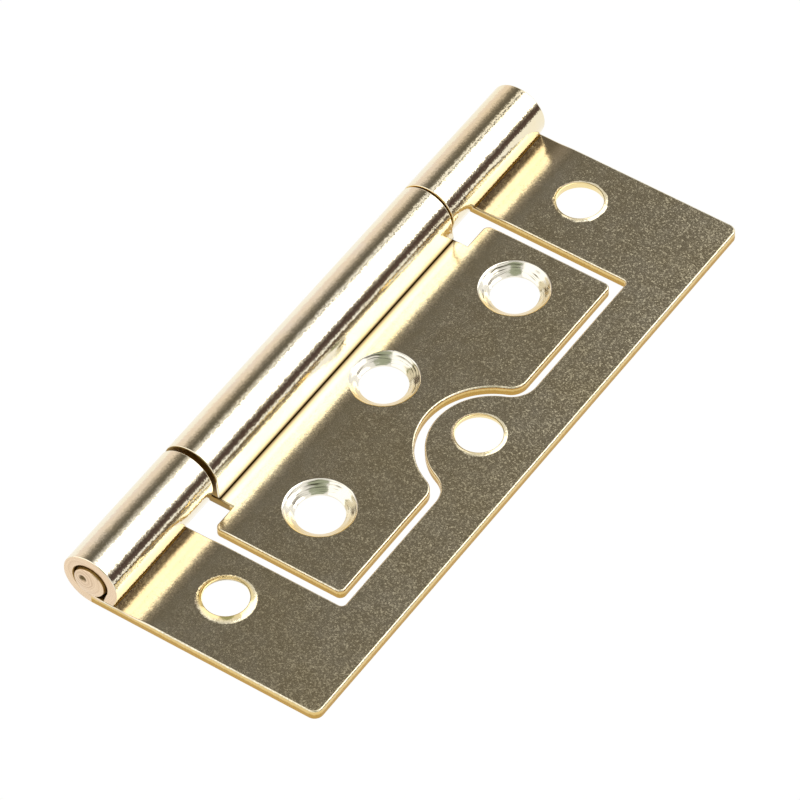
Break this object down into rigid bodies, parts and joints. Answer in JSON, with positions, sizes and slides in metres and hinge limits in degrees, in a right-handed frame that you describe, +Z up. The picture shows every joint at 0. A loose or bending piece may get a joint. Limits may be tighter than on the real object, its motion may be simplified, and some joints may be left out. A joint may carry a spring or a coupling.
{
  "type": "flush hinge",
  "caption": "Flush hinge of rolled sheet steel: a small leaf nests in the window of a larger leaf, and both turn on a shared pin through rolled knuckles.",
  "frame": {"origin": "middle of the closed hinge's footprint, on the underside of the leaves", "axes": "+Z up out of the leaves on the barrel's side, pin along Y, +X from the barrel towards the outer leaf's free edge"},
  "size_m": [0.03, 0.0756, 0.0064],
  "materials": {
    "leaf": "electro-brassed sheet steel, pale yellow, tumbled",
    "pin": "electro-brassed steel wire, cropped and crowned ends"
  },
  "bodies": {
    "outer_leaf": {"outer_leaf": "leaf", "hinge_pin": "pin"},
    "inner_leaf": {"inner_leaf": "leaf"}
  },
  "joints": [
    {"name": "pin_hinge", "type": "hinge", "parent": "outer_leaf", "child": "inner_leaf", "pos_m": [-0.0118, 0, 0.0032], "axis": [0, -1, 0], "range_deg": [0, 180]}
  ]
}
